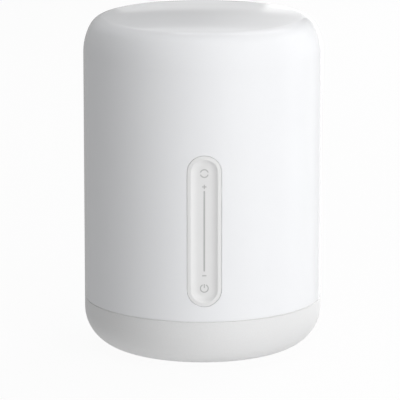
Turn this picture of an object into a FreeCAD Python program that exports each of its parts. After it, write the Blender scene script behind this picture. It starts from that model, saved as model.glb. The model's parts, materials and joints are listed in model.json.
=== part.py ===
"""Bedside lamp with a touch panel, in millimetres.

A round opal diffuser stands on a round base. The touch panel is let into the front of
the diffuser, towards -Y, and the power inlet is in the back of the base, towards +Y.
The lamp's axis is Z and the origin is where that axis meets the table.
"""

import FreeCAD, Part
import math
import os
from types import SimpleNamespace

import Sketcher

SIZES = {
    # outer form of the diffuser
    "body_radius": 70.0,
    "body_height": 200.0,
    "crown_radius": 600.0,
    "crown_angle": 5.5,
    "corner_radius": 11.0,
    "shoulder_radius": 32.0,
    "shell_wall": 2.2,
    "seam_gap": 0.4,
    "gasket_recess": 0.2,
    "gasket_clearance": 0.1,
    "overrun": 1.0,
    # outer form of the base
    "base_top": 29.9,
    "underside": 1.0,
    "base_flat_radius": 49.0,
    "base_corner_radius": 21.0,
    "base_wall": 2.4,
    "base_flange_width": 2.7,
    "base_flange_top": 5.0,
    # joint between diffuser, base and chassis
    "tongue_inner_radius": 65.6,
    "tongue_outer_radius": 67.4,
    "tongue_top": 33.0,
    "tongue_root": 27.5,
    "ledge_inner_radius": 66.0,
    "ledge_bottom": 33.2,
    "ledge_height": 1.6,
    "ledge_angle": 24.0,
    "hook_outer_radius": 67.3,
    "hook_angle": 20.0,
    "joint_clearance": 0.2,
    # chassis
    "deck_bottom": 25.0,
    "deck_thickness": 2.0,
    "deck_inner_radius": 35.5,
    "chassis_radius": 65.4,
    "chassis_wall": 2.2,
    "rib_height": 10.0,
    "rib_inner_radius": 62.0,
    "rib_half_thickness": 1.2,
    "post_circle": 39.0,
    "post_radius": 4.0,
    # bottom cover and foot
    "cover_radius": 47.0,
    "cover_clearance": 0.2,
    "cover_thickness": 2.0,
    "cover_boss_radius": 5.0,
    "cover_boss_top": 6.0,
    "foot_inner_radius": 36.0,
    "foot_outer_radius": 44.0,
    "foot_height": 2.0,
    "foot_clearance": 0.1,
    "standoff_circle": 24.0,
    "standoff_radius": 3.2,
    # screws, as shank and head radii with their clearance
    "large_shank": 1.45,
    "large_head": 2.8,
    "large_head_height": 1.8,
    "large_reach": 16.0,
    "small_shank": 1.1,
    "small_head": 2.2,
    "small_head_height": 1.5,
    "thread_clearance": 0.05,
    "screw_clearance": 0.4,
    # touch panel
    "panel_centre": 83.7,
    "panel_straight": 69.0,
    "panel_half_width": 9.9,
    "panel_gap": 0.35,
    "flange_half_width": 12.3,
    "panel_back": 65.0,
    "seal_thickness": 0.4,
    "seal_inset": 0.2,
    "dish_floor": 68.5,
    "dish_half_width": 8.5,
    "dish_floor_radius": 3.2,
    "icon_depth": 0.3,
    "icon_stroke": 0.62,
    "icon_radius": 2.55,
    "mode_height": 117.3,
    "plus_height": 109.5,
    "plus_half_length": 1.25,
    "slider_bottom": 59.9,
    "slider_top": 107.1,
    "slider_width": 0.9,
    "minus_height": 57.3,
    "power_height": 49.8,
    "film_half_width": 9.0,
    "film_thickness": 0.2,
    "touch_board_half_width": 8.8,
    "touch_board_thickness": 1.2,
    "panel_boss_radius": 2.4,
    "panel_boss_spread": 40.4,
    "panel_boss_height": 2.5,
    "panel_screw_depth": 4.0,
    "indicator_pitch": 6.0,
    "indicator_first": 62.5,
    "indicator_hole": 0.5,
    "indicator_size": 1.6,
    "indicator_height": 0.8,
    "rear_cover_half_width": 11.0,
    "rear_cover_wall": 1.5,
    "rear_cover_back": 57.0,
    # light engine
    "heat_sink_radius": 52.0,
    "heat_sink_plate": 3.0,
    "heat_sink_hole": 9.0,
    "fin_reach": 33.0,
    "fin_height": 7.0,
    "fin_thickness": 1.2,
    "heat_sink_screw_circle": 44.0,
    "thermal_pad_radius": 46.0,
    "thermal_pad_thickness": 0.3,
    "led_board_radius": 48.0,
    "board_thickness": 1.6,
    "led_size": 3.0,
    "led_height": 0.8,
    "led_window": 2.4,
    "inner_led_circle": 18.0,
    "colour_led_circle": 27.0,
    "outer_led_circle": 36.0,
    "led_screw_circle": 30.0,
    "reflector_inner_radius": 8.0,
    "reflector_bend_radius": 50.0,
    "reflector_outer_radius": 62.8,
    "reflector_rise": 3.8,
    "reflector_thickness": 0.8,
    "connector_half_length": 4.0,
    "connector_half_width": 2.2,
    "connector_height": 3.0,
    "wire_radius": 0.5,
    "wire_pitch": 1.25,
    "wire_count": 6,
    "wire_bend": 1.8,
    "wire_rise": 3.0,
    "led_cable_offset": 9.0,
    # main board
    "main_board_bottom": 8.0,
    "main_board_radius": 55.0,
    "inductor_size": 12.0,
    "inductor_height": 5.0,
    "inductor_x": -14.0,
    "inductor_y": 38.0,
    "capacitor_radius": 3.15,
    "capacitor_height": 7.7,
    "capacitor_x": 13.0,
    "capacitor_y": 34.0,
    "capacitor_pitch": 9.0,
    "transistor_size": 3.0,
    "transistor_height": 1.2,
    "transistor_y": -15.0,
    "transistor_pitch": 6.0,
    "chip_height": 1.1,
    "driver_chip_size": 7.0,
    "driver_chip_x": 16.5,
    "driver_chip_y": 12.5,
    "memory_chip_size": 6.0,
    "memory_chip_x": -14.0,
    "memory_chip_y": 7.0,
    "power_chip_size": 5.0,
    "power_chip_x": 33.5,
    "module_width": 18.0,
    "module_length": 20.0,
    "module_x": -37.0,
    "module_board_thickness": 0.8,
    "shield_width": 10.5,
    "shield_length": 16.0,
    "shield_x": -33.75,
    "module_shield_height": 2.0,
    # panel cable
    "ribbon_half_width": 3.5,
    "ribbon_thickness": 0.3,
    "ribbon_bend": 2.0,
    "ribbon_start": 62.3,
    "ribbon_drop": 54.5,
    "ribbon_exit_height": 51.0,
    "ribbon_end_height": 11.0,
    "touch_connector_bottom": 64.0,
    "touch_connector_height": 3.4,
    "ribbon_connector_front": 50.0,
    "ribbon_connector_length": 5.0,
    "ribbon_slot_half_width": 4.6,
    # power inlet
    "inlet_height": 16.1,
    "sleeve_bore": 6.0,
    "sleeve_radius": 8.0,
    "sleeve_front": 58.0,
    "jack_front": 43.5,
    "jack_length": 14.0,
    "jack_half_width": 4.5,
    "jack_height": 11.0,
    "jack_bore": 3.1,
    "jack_bore_depth": 10.0,
    "jack_pin_radius": 1.0,
    "jack_pin_length": 9.0,
    "contact_thickness": 0.3,
}

QUARTERS = (0, 90, 180, 270)
DIAGONALS = (45, 135, 225, 315)
THIRDS = (30, 150, 270)

document = FreeCAD.newDocument("bedside_lamp")
sheet = document.addObject("Spreadsheet::Sheet", "sizes")
for row, (alias, number) in enumerate(SIZES.items(), start=1):
    sheet.set(f"A{row}", alias)
    sheet.set(f"B{row}", str(number))
    sheet.setAlias(f"B{row}", alias)
document.recompute()


class Size:
    """A number of millimetres that carries its formula over the cells of the sheet."""

    def __init__(self, number, formula=None):
        self.number = float(number)
        self.formula = formula or f"({float(number)})"

    def __add__(self, other):
        other = size(other)
        return Size(self.number + other.number, f"({self.formula} + {other.formula})")

    def __sub__(self, other):
        other = size(other)
        return Size(self.number - other.number, f"({self.formula} - {other.formula})")

    def __mul__(self, other):
        other = size(other)
        return Size(self.number * other.number, f"({self.formula} * {other.formula})")

    def __truediv__(self, other):
        other = size(other)
        return Size(self.number / other.number, f"({self.formula} / {other.formula})")

    def __radd__(self, other):
        return size(other) + self

    def __rsub__(self, other):
        return size(other) - self

    def __neg__(self):
        return Size(-self.number, f"(-{self.formula})")


def size(value):
    return value if isinstance(value, Size) else Size(value)


def sine(degrees):
    degrees = size(degrees)
    return Size(math.sin(math.radians(degrees.number)), f"sin({degrees.formula} * 1 deg)")


def cosine(degrees):
    degrees = size(degrees)
    return Size(math.cos(math.radians(degrees.number)), f"cos({degrees.formula} * 1 deg)")


def root(value):
    return Size(math.sqrt(value.number), f"sqrt({value.formula})")


s = SimpleNamespace(**{name: Size(number, f"sizes.{name}") for name, number in SIZES.items()})


# Heights and radii that several pieces share.
shell_bottom = s.base_top + s.seam_gap
shell_inner_radius = s.body_radius - s.shell_wall
ledge_top = s.ledge_bottom + s.ledge_height
hook_bottom = ledge_top + s.joint_clearance
chassis_top = hook_bottom + s.ledge_height
deck_top = s.deck_bottom + s.deck_thickness
cover_top = s.underside + s.cover_thickness
main_board_top = s.main_board_bottom + s.board_thickness
heat_sink_top = deck_top + s.heat_sink_plate
led_board_bottom = heat_sink_top + s.thermal_pad_thickness
led_board_top = led_board_bottom + s.board_thickness
reflector_top = led_board_top + s.reflector_thickness
touch_board_front = s.panel_back - s.film_thickness
touch_board_back = touch_board_front - s.touch_board_thickness
panel_boss_back = s.panel_back - s.panel_boss_height
panel_boss_heights = (
    s.panel_centre - s.panel_boss_spread,
    s.panel_centre + s.panel_boss_spread,
)
beyond_body = s.body_radius + s.overrun


# ---------------------------------------------------------------- shapes


def bind(thing, **sizes):
    """Tie the named properties of an object to formulas over the sheet."""
    for name, value in sizes.items():
        thing.setExpression(name, size(value).formula)


def place(thing, x, y, z, turn=0, tilt=0):
    """Stand an object at x, y, z, tilted about X and then turned about the lamp's axis."""
    x, y = size(x), size(y)
    turned_x = x * cosine(turn) - y * sine(turn)
    turned_y = x * sine(turn) + y * cosine(turn)
    about_z = FreeCAD.Rotation(FreeCAD.Vector(0, 0, 1), turn)
    about_x = FreeCAD.Rotation(FreeCAD.Vector(1, 0, 0), tilt)
    thing.Placement = FreeCAD.Placement(FreeCAD.Vector(), about_z * about_x)
    for axis, value in (("x", turned_x), ("y", turned_y), ("z", size(z))):
        if value.number:
            thing.setExpression(f"Placement.Base.{axis}", value.formula)
    return thing


def block(x, y, z, turn=0):
    """A box between the two ends given for each of its directions."""
    box = document.addObject("Part::Box", "Block")
    bind(box, Length=size(x[1]) - x[0], Width=size(y[1]) - y[0], Height=size(z[1]) - z[0])
    return place(box, x[0], y[0], z[0], turn)


def centred(x, y, width, length, ends):
    """A box centred at x, y between two heights."""
    across = (x - width / 2, x + width / 2)
    along = (y - length / 2, y + length / 2)
    return block(across, along, ends)


def disc(radius, bottom, top, x=0, y=0, turn=0):
    """An upright cylinder."""
    cylinder = document.addObject("Part::Cylinder", "Disc")
    bind(cylinder, Radius=radius, Height=size(top) - bottom)
    return place(cylinder, x, y, bottom, turn)


def rod(radius, start, end, height, x=0):
    """A cylinder that lies along Y, from start to the larger end."""
    cylinder = document.addObject("Part::Cylinder", "Rod")
    bind(cylinder, Radius=radius, Height=size(end) - start)
    return place(cylinder, x, start, height, tilt=-90)


def sector(inner, outer, bottom, top, width, turn):
    """Part of a flat ring, as wide as the angle width, centred on the angle turn."""
    wedge = disc(outer, bottom, top)
    bind(wedge, Angle=width)
    wedge.Placement.Rotation = FreeCAD.Rotation(FreeCAD.Vector(0, 0, 1), turn - width.number / 2)
    return cut(wedge, disc(inner, bottom, top))


def ring(inner, outer, bottom, top):
    return cut(disc(outer, bottom, top), disc(inner, bottom, top))


def fuse(*things):
    joined = document.addObject("Part::MultiFuse", "Joined")
    joined.Shapes = list(things)
    return joined


def group(*things):
    """Several separate solids kept together as one node."""
    compound = document.addObject("Part::Compound", "Group")
    compound.Links = list(things)
    return compound


def cut(base, *tools):
    result = document.addObject("Part::Cut", "Cut")
    result.Base = base
    result.Tool = tools[0] if len(tools) == 1 else group(*tools)
    return result


def common(first, second):
    result = document.addObject("Part::Common", "Common")
    result.Base = first
    result.Tool = second
    return result


def sketch_on(body, role):
    """A sketch on one of the body's own origin planes."""
    plane = next(p for p in body.Origin.OriginFeatures if p.Role == role)
    sketch = body.newObject("Sketcher::SketchObject", "Sketch")
    sketch.AttachmentSupport = [(plane, "")]
    sketch.MapMode = "FlatFace"
    return sketch


def constrain(sketch, kind, *places, value):
    """A dimension in a sketch that follows its formula over the sheet."""
    index = sketch.addConstraint(Sketcher.Constraint(kind, *places, value.number))
    sketch.setExpression(f"Constraints[{index}]", value.formula)


def pin_point(sketch, line, position, x, y):
    """Fix one end of a line or arc at x, y."""
    for kind, axis, value in (("DistanceX", -2, x), ("DistanceY", -1, y)):
        if value.number:
            constrain(sketch, kind, -1, 1, line, position, value=value)
        else:
            sketch.addConstraint(Sketcher.Constraint("PointOnObject", line, position, axis))


def turned_outline(points):
    """A body turned about Z from an outline of (radius, height) points.

    A point may add the centre and radius of the arc that leads to it from the point before.
    """
    body = document.addObject("PartDesign::Body", "Turned")
    sketch = sketch_on(body, "XZ_Plane")
    corners = [(size(point[0]), size(point[1])) for point in points]
    vectors = [FreeCAD.Vector(x.number, y.number, 0) for x, y in corners]
    for index, point in enumerate(points):
        start, end = vectors[index - 1], vectors[index]
        if len(point) == 2:
            sketch.addGeometry(Part.LineSegment(start, end))
            continue
        centre = FreeCAD.Vector(size(point[2]).number, size(point[3]).number, 0)
        middle = (start + end) / 2 - centre
        bulge = centre + middle.normalize() * point[4].number
        sketch.addGeometry(Part.Arc(start, bulge, end))
    for index, point in enumerate(points):
        before = (index - 1) % len(points)
        clockwise = is_clockwise(vectors[index - 1], vectors[index], point)
        ends = (2, 1) if clockwise else (1, 2)
        before_clockwise = is_clockwise(vectors[before - 1], vectors[before], points[before])
        before_end = 1 if before_clockwise else 2
        sketch.addConstraint(
            Sketcher.Constraint("Coincident", before, before_end, index, ends[0])
        )
        pin_point(sketch, index, ends[1], *corners[index])
        if len(point) > 2:
            constrain(sketch, "Radius", index, value=point[4])
    turned = body.newObject("PartDesign::Revolution", "Revolution")
    turned.Profile = sketch
    turned.ReferenceAxis = (sketch, ["V_Axis"])
    turned.Angle = 360.0
    return body


def is_clockwise(start, end, point):
    """Whether the arc that leads to this point runs clockwise, which swaps its ends."""
    if len(point) == 2:
        return False
    centre = FreeCAD.Vector(size(point[2]).number, size(point[3]).number, 0)
    return (start - centre).cross(end - centre).z < 0


def racetrack(half_width, near, far, floor_radius=None):
    """An upright slot-shaped block on the panel's centre line.

    It faces forwards: near and far are how far its back and front are in front of the
    axis. A floor radius rounds the edge of its back.
    """
    half_width = size(half_width)
    body = document.addObject("PartDesign::Body", "Racetrack")
    sketch = sketch_on(body, "XZ_Plane")
    sketch.setExpression("AttachmentOffset.Base.z", size(near).formula)
    centre, straight, radius = SIZES["panel_centre"], SIZES["panel_straight"], half_width.number
    low, high = centre - straight / 2, centre + straight / 2
    normal = FreeCAD.Vector(0, 0, 1)
    lower_circle = Part.Circle(FreeCAD.Vector(0, low, 0), normal, radius)
    upper_circle = Part.Circle(FreeCAD.Vector(0, high, 0), normal, radius)
    sketch.addGeometry(
        [
            Part.LineSegment(FreeCAD.Vector(radius, low, 0), FreeCAD.Vector(radius, high, 0)),
            Part.ArcOfCircle(upper_circle, 0, math.pi),
            Part.LineSegment(FreeCAD.Vector(-radius, high, 0), FreeCAD.Vector(-radius, low, 0)),
            Part.ArcOfCircle(lower_circle, math.pi, 2 * math.pi),
        ]
    )
    for line, following in ((0, 1), (1, 2), (2, 3), (3, 0)):
        sketch.addConstraint(Sketcher.Constraint("Tangent", line, 2, following, 1))
    sketch.addConstraint(Sketcher.Constraint("Vertical", 0))
    sketch.addConstraint(Sketcher.Constraint("Equal", 1, 3))
    sketch.addConstraint(Sketcher.Constraint("PointOnObject", 1, 3, -2))
    constrain(sketch, "Radius", 1, value=half_width)
    constrain(sketch, "DistanceY", 3, 3, 1, 3, value=s.panel_straight)
    constrain(sketch, "DistanceY", -1, 1, 1, 3, value=s.panel_centre + s.panel_straight / 2)
    pad = body.newObject("PartDesign::Pad", "Pad")
    pad.Profile = sketch
    bind(pad, Length=size(far) - near)
    if floor_radius:
        document.recompute()
        back = [
            f"Edge{index}"
            for index, edge in enumerate(pad.Shape.Edges, start=1)
            if abs(edge.BoundBox.YMax - edge.BoundBox.YMin) < 1e-6
            and abs(edge.BoundBox.YMax + size(near).number) < 1e-6
        ]
        fillet = body.newObject("PartDesign::Fillet", "Fillet")
        fillet.Base = (pad, back)
        bind(fillet, Radius=floor_radius)
    return body


def around(angles, radius):
    """The places on a circle at these angles, as x and y."""
    return [(radius * cosine(angle), radius * sine(angle)) for angle in angles]


def screws(places, shank, head, head_bottom, head_height, end):
    """Screws with round heads above their shanks, or below where end is above the head."""
    pieces = []
    for x, y in places:
        head_top = head_bottom + head_height
        low, high = (end, head_bottom) if end.number < head_bottom.number else (head_top, end)
        pieces.append(fuse(disc(head, head_bottom, head_top, x, y), disc(shank, low, high, x, y)))
    return group(*pieces)


# ---------------------------------------------------------------- casing


def diffuser_outline(inset):
    """The shell's rounded outline from its axis down to its side, moved in by inset."""
    centre_drop = s.body_height - s.crown_radius
    crown = s.crown_radius - inset
    corner = s.corner_radius - inset
    shoulder = s.shoulder_radius - inset
    corner_x = (s.crown_radius - s.corner_radius) * sine(s.crown_angle)
    corner_z = centre_drop + (s.crown_radius - s.corner_radius) * cosine(s.crown_angle)
    shoulder_x = s.body_radius - s.shoulder_radius
    blend_sine = (corner_x - shoulder_x) / (s.shoulder_radius - s.corner_radius)
    blend_cosine = root(Size(1) - blend_sine * blend_sine)
    shoulder_z = corner_z - (s.shoulder_radius - s.corner_radius) * blend_cosine
    crown_end = (crown * sine(s.crown_angle), centre_drop + crown * cosine(s.crown_angle))
    blend = (corner_x + corner * blend_sine, corner_z + corner * blend_cosine)
    return [
        (Size(0), s.body_height - inset),
        (*crown_end, Size(0), centre_drop, crown),
        (*blend, corner_x, corner_z, corner),
        (s.body_radius - inset, shoulder_z, shoulder_x, shoulder_z, shoulder),
    ]


def with_reversed(outer, inner):
    """Close an outline with a second one that runs back from its last point to its first."""
    back = []
    for index in range(len(inner) - 1, -1, -1):
        arc = inner[index + 1][2:] if index + 1 < len(inner) else ()
        back.append((inner[index][0], inner[index][1], *arc))
    return outer + back


def diffuser_shell():
    outer = diffuser_outline(Size(0)) + [(s.body_radius, shell_bottom)]
    inner = diffuser_outline(s.shell_wall) + [(shell_inner_radius, shell_bottom)]
    shell = turned_outline(with_reversed(outer, inner))
    ledges = [
        sector(
            s.ledge_inner_radius,
            shell_inner_radius + s.joint_clearance,
            s.ledge_bottom,
            ledge_top,
            s.ledge_angle,
            angle,
        )
        for angle in DIAGONALS
    ]
    window = racetrack(s.panel_half_width + s.panel_gap, s.rear_cover_back, beyond_body)
    return cut(fuse(shell, *ledges), window)


def seam_gasket():
    inner = s.tongue_outer_radius + s.gasket_clearance
    outer = s.body_radius - s.gasket_recess
    return ring(inner, outer, s.base_top, shell_bottom)


def base_shell():
    centre = (s.base_flat_radius, s.underside + s.base_corner_radius)
    inner_corner = s.base_corner_radius - s.base_wall
    inner_radius = s.body_radius - s.base_wall
    recess = s.cover_radius + s.cover_clearance
    flange_depth = centre[1] - s.base_flange_top
    flange_meet = centre[0] + root(inner_corner * inner_corner - flange_depth * flange_depth)
    shell = turned_outline(
        [
            (recess, s.underside),
            (s.base_flat_radius, s.underside),
            (s.body_radius, centre[1], *centre, s.base_corner_radius),
            (s.body_radius, s.base_top),
            (s.tongue_outer_radius, s.base_top),
            (s.tongue_outer_radius, s.tongue_top),
            (s.tongue_inner_radius, s.tongue_top),
            (s.tongue_inner_radius, s.tongue_root),
            (inner_radius, s.tongue_root - s.deck_thickness),
            (inner_radius, centre[1]),
            (flange_meet, s.base_flange_top, *centre, inner_corner),
            (recess - s.base_flange_width, s.base_flange_top),
            (recess - s.base_flange_width, cover_top),
            (recess, cover_top),
        ]
    )
    wall_middle = inner_radius + s.joint_clearance
    rib = (s.rib_inner_radius, wall_middle)
    side = (-s.rib_half_thickness, s.rib_half_thickness)
    ribs = [
        block(rib, side, (s.deck_bottom - s.rib_height, s.deck_bottom), turn=angle)
        for angle in DIAGONALS
    ]
    # The sleeve runs from the inlet to the wall, and is trimmed to the outside of the base.
    sleeve = common(
        rod(s.sleeve_radius, s.sleeve_front, beyond_body, s.inlet_height), base_envelope(centre)
    )
    bore = rod(s.sleeve_bore, s.sleeve_front - s.overrun, beyond_body, s.inlet_height)
    return cut(fuse(shell, sleeve, *ribs), bore)


def base_envelope(centre):
    """The solid form of the base, as if it were not hollow."""
    return turned_outline(
        [
            (Size(0), s.underside),
            (s.base_flat_radius, s.underside),
            (s.body_radius, centre[1], *centre, s.base_corner_radius),
            (s.body_radius, s.base_top),
            (Size(0), s.base_top),
        ]
    )


def bottom_cover():
    posts = around(DIAGONALS, s.post_circle)
    standoffs = around(QUARTERS, s.standoff_circle)
    bosses = [disc(s.cover_boss_radius, s.underside, s.cover_boss_top, x, y) for x, y in posts]
    pillars = [
        disc(s.standoff_radius, s.underside, s.main_board_bottom, x, y) for x, y in standoffs
    ]
    plate = disc(s.cover_radius, s.underside, cover_top)
    groove = ring(
        s.foot_inner_radius - s.foot_clearance,
        s.foot_outer_radius + s.foot_clearance,
        s.underside - s.overrun,
        s.foot_height,
    )
    seat = s.foot_height + s.large_head_height + s.joint_clearance
    head = s.large_head + s.screw_clearance
    shank = s.large_shank + s.screw_clearance
    pilot = s.small_shank + s.thread_clearance
    wells = [disc(head, s.underside, seat, x, y) for x, y in posts]
    hole_top = s.cover_boss_top + s.overrun
    holes = [disc(shank, s.underside, hole_top, x, y) for x, y in posts]
    pilot_ends = (cover_top + s.overrun, s.main_board_bottom + s.overrun)
    pilots = [disc(pilot, *pilot_ends, x, y) for x, y in standoffs]
    return cut(fuse(plate, *bosses, *pillars), groove, fuse(*wells, *holes, *pilots))


def foot_ring():
    return ring(s.foot_inner_radius, s.foot_outer_radius, 0, s.foot_height)


def base_screws():
    seat = s.foot_height + s.joint_clearance
    return screws(
        around(DIAGONALS, s.post_circle),
        s.large_shank,
        s.large_head,
        seat,
        s.large_head_height,
        s.large_reach,
    )


def chassis():
    deck = disc(s.chassis_radius, s.deck_bottom, deck_top)
    skirt = ring(
        s.chassis_radius - s.chassis_wall, s.chassis_radius, s.deck_bottom, chassis_top
    )
    hooks = [
        sector(
            s.chassis_radius - s.chassis_wall / 2,
            s.hook_outer_radius,
            hook_bottom,
            chassis_top,
            s.hook_angle,
            angle,
        )
        for angle in DIAGONALS
    ]
    places = around(DIAGONALS, s.post_circle)
    posts = [disc(s.post_radius, s.cover_boss_top, deck_top, x, y) for x, y in places]
    through = (s.deck_bottom - s.overrun, deck_top + s.overrun)
    opening = disc(s.deck_inner_radius, *through)
    pilot = s.large_shank + s.thread_clearance
    pilot_ends = (s.cover_boss_top - s.overrun, s.large_reach + s.overrun)
    pilots = [disc(pilot, *pilot_ends, x, y) for x, y in places]
    hole = s.small_shank + s.screw_clearance
    holes = [disc(hole, *through, x, y) for x, y in around(THIRDS, s.heat_sink_screw_circle)]
    body = cut(fuse(deck, skirt, *hooks), opening, ribbon_slot(*through))
    return cut(fuse(body, *posts), *pilots, *holes)


def ribbon_slot(bottom, top):
    """The opening that lets the panel's cable down past the chassis and the reflector."""
    half = s.ribbon_slot_half_width
    room = s.ribbon_bend
    return block((-half, half), (-s.ribbon_drop - room, -s.ribbon_drop + room), (bottom, top))


# ---------------------------------------------------------------- touch panel


def mode_icon():
    """Two arcs, above and below, that leave a gap at each side."""
    front, back = -s.dish_floor, -s.dish_floor + s.icon_depth
    outer = rod(s.icon_radius, front, back, s.mode_height)
    through = (front - s.overrun, back + s.overrun)
    inner = rod(s.icon_radius - s.icon_stroke, *through, s.mode_height)
    reach = s.icon_radius + s.overrun
    gap = (s.mode_height - s.icon_stroke, s.mode_height + s.icon_stroke)
    return cut(outer, fuse(inner, block((-reach, reach), through, gap)))


def bar(half_width, bottom, top):
    """An upright bar let into the floor of the dish."""
    depth = (-s.dish_floor, -s.dish_floor + s.icon_depth)
    return block((-half_width, half_width), depth, (bottom, top))


def plus_mark():
    half, thin = s.plus_half_length, s.icon_stroke / 2
    upright = bar(thin, s.plus_height - half, s.plus_height + half)
    return fuse(upright, bar(half, s.plus_height - thin, s.plus_height + thin))


def slider_line():
    return bar(s.slider_width / 2, s.slider_bottom, s.slider_top)


def minus_mark():
    thin = s.icon_stroke / 2
    return bar(s.plus_half_length, s.minus_height - thin, s.minus_height + thin)


def power_icon():
    """A ring that is open at the top, with a short upright bar in the opening."""
    front, back = -s.dish_floor, -s.dish_floor + s.icon_depth
    outer = rod(s.icon_radius, front, back, s.power_height)
    through = (front - s.overrun, back + s.overrun)
    inner = rod(s.icon_radius - s.icon_stroke, *through, s.power_height)
    top = s.power_height + s.icon_radius
    half_gap = s.icon_stroke * 1.5
    gap = block((-half_gap, half_gap), through, (s.power_height, top + s.overrun))
    half_stroke = s.icon_stroke / 2
    stem = bar(half_stroke, s.power_height + half_stroke, top)
    return group(cut(outer, fuse(inner, gap)), stem)


def control_panel():
    """The dished front with a flange behind the shell, bosses for screws and inlaid marks."""
    column = (s.tongue_top, s.panel_centre + s.panel_straight)
    insert = common(
        racetrack(s.panel_half_width, s.panel_back, beyond_body),
        disc(s.body_radius, *column),
    )
    flange = common(
        racetrack(s.flange_half_width, s.panel_back, beyond_body),
        disc(shell_inner_radius - s.seal_thickness, *column),
    )
    bosses = [
        rod(s.panel_boss_radius, -s.panel_back, -panel_boss_back, height)
        for height in panel_boss_heights
    ]
    pilots = [
        rod(
            s.small_shank + s.thread_clearance,
            -panel_boss_back - s.panel_screw_depth,
            -panel_boss_back + s.overrun,
            height,
        )
        for height in panel_boss_heights
    ]
    dish_front = s.dish_floor + s.dish_floor_radius + s.overrun
    dish = racetrack(s.dish_half_width, s.dish_floor, dish_front, s.dish_floor_radius)
    marks = [make() for make in (mode_icon, plus_mark, slider_line, minus_mark, power_icon)]
    return cut(cut(fuse(insert, flange, *bosses), dish), *pilots, *marks)


def panel_adhesive_seal():
    column = (s.tongue_top, s.panel_centre + s.panel_straight)
    sleeve = ring(shell_inner_radius - s.seal_thickness, shell_inner_radius, *column)
    window = s.panel_half_width + s.panel_gap
    frame = cut(
        racetrack(s.flange_half_width - s.seal_inset, s.panel_back, s.body_radius),
        racetrack(window + s.seal_inset, s.panel_back - s.overrun, s.body_radius),
    )
    return common(frame, sleeve)


def boss_clearances(front, back):
    radius = s.panel_boss_radius + s.screw_clearance
    through = (-front - s.overrun, -back + s.overrun)
    return [rod(radius, *through, height) for height in panel_boss_heights]


def touch_film():
    film = racetrack(s.film_half_width, touch_board_front, s.panel_back)
    return cut(film, *boss_clearances(s.panel_back, touch_board_front))


def indicator_heights():
    slider = [s.indicator_first + s.indicator_pitch * step for step in range(8)]
    return [s.power_height, s.minus_height, *slider, s.plus_height, s.mode_height]


def touch_board():
    board = racetrack(s.touch_board_half_width, touch_board_back, touch_board_front)
    holes = [
        rod(s.indicator_hole, -s.panel_back, -touch_board_back + s.overrun, height)
        for height in indicator_heights()
    ]
    return cut(board, *boss_clearances(touch_board_front, touch_board_back), *holes)


def on_touch_board(x, height, z):
    """A part soldered to the back of the touch board."""
    return block(x, (-touch_board_back, -touch_board_back + height), z)


def indicator_leds():
    half = s.indicator_size / 2
    lamps = [
        on_touch_board((-half, half), s.indicator_height, (height - half, height + half))
        for height in indicator_heights()
    ]
    return group(*lamps)


def touch_controller():
    left = s.indicator_size * 1.5
    bottom = s.panel_centre + s.indicator_pitch
    width = s.indicator_size * 3
    return on_touch_board((left, left + width), s.chip_height, (bottom, bottom + width))


def touch_board_connector():
    top = s.touch_connector_bottom + s.touch_connector_height
    half = s.ribbon_slot_half_width
    return on_touch_board((-half, half), s.board_thickness, (s.touch_connector_bottom, top))


def panel_rear_cover():
    plate_front = s.rear_cover_back + s.rear_cover_wall
    inner = s.rear_cover_half_width - s.rear_cover_wall
    shell = cut(
        racetrack(s.rear_cover_half_width, s.rear_cover_back, s.panel_back),
        racetrack(inner, plate_front, s.panel_back + s.overrun),
    )
    posts = [
        rod(s.panel_boss_radius, -panel_boss_back, -plate_front + s.joint_clearance, height)
        for height in panel_boss_heights
    ]
    back = -s.rear_cover_back + s.overrun
    hole = s.small_shank + s.screw_clearance
    holes = [rod(hole, -panel_boss_back - s.overrun, back, height) for height in panel_boss_heights]
    half = s.ribbon_slot_half_width
    exit_slot = block(
        (-half, half),
        (-plate_front - s.overrun, back),
        (s.ribbon_exit_height - s.ribbon_bend, s.ribbon_exit_height + s.ribbon_bend),
    )
    return cut(fuse(shell, *posts), exit_slot, *holes)


def panel_screws():
    tip = panel_boss_back + s.panel_screw_depth - s.overrun
    pieces = []
    for height in panel_boss_heights:
        shank = rod(s.small_shank, -tip, -s.rear_cover_back, height)
        head = rod(
            s.small_head, -s.rear_cover_back, -s.rear_cover_back + s.small_head_height, height
        )
        pieces.append(fuse(shank, head))
    return group(*pieces)


# ---------------------------------------------------------------- light engine


def led_screw_holes(bottom, top, radius):
    return [disc(radius, bottom, top, x, y) for x, y in around(THIRDS, s.led_screw_circle)]


def heat_sink():
    plate = disc(s.heat_sink_radius, deck_top, heat_sink_top)
    fin_side = (-s.fin_thickness / 2, s.fin_thickness / 2)
    fins = [
        block(
            (s.heat_sink_hole, s.fin_reach),
            fin_side,
            (deck_top - s.fin_height, deck_top + s.joint_clearance),
            turn=angle,
        )
        for angle in range(0, 360, 18)
    ]
    hole = disc(s.heat_sink_hole, deck_top - s.overrun, heat_sink_top + s.overrun)
    pilot = s.small_shank + s.thread_clearance
    led_pilots = led_screw_holes(deck_top + s.overrun, heat_sink_top + s.overrun, pilot)
    pilot_ends = (deck_top - s.overrun, heat_sink_top - s.joint_clearance)
    chassis_pilots = [
        disc(pilot, *pilot_ends, x, y) for x, y in around(THIRDS, s.heat_sink_screw_circle)
    ]
    return cut(fuse(plate, *fins), hole, *led_pilots, *chassis_pilots)


def heat_sink_screws():
    head_bottom = s.deck_bottom - s.small_head_height
    return screws(
        around(THIRDS, s.heat_sink_screw_circle),
        s.small_shank,
        s.small_head,
        head_bottom,
        s.small_head_height,
        heat_sink_top - s.joint_clearance * 2,
    )


def thermal_pad():
    pad = ring(s.heat_sink_hole, s.thermal_pad_radius, heat_sink_top, led_board_bottom)
    hole = s.small_shank + s.screw_clearance
    return cut(pad, *led_screw_holes(heat_sink_top - s.overrun, led_board_bottom + s.overrun, hole))


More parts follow.
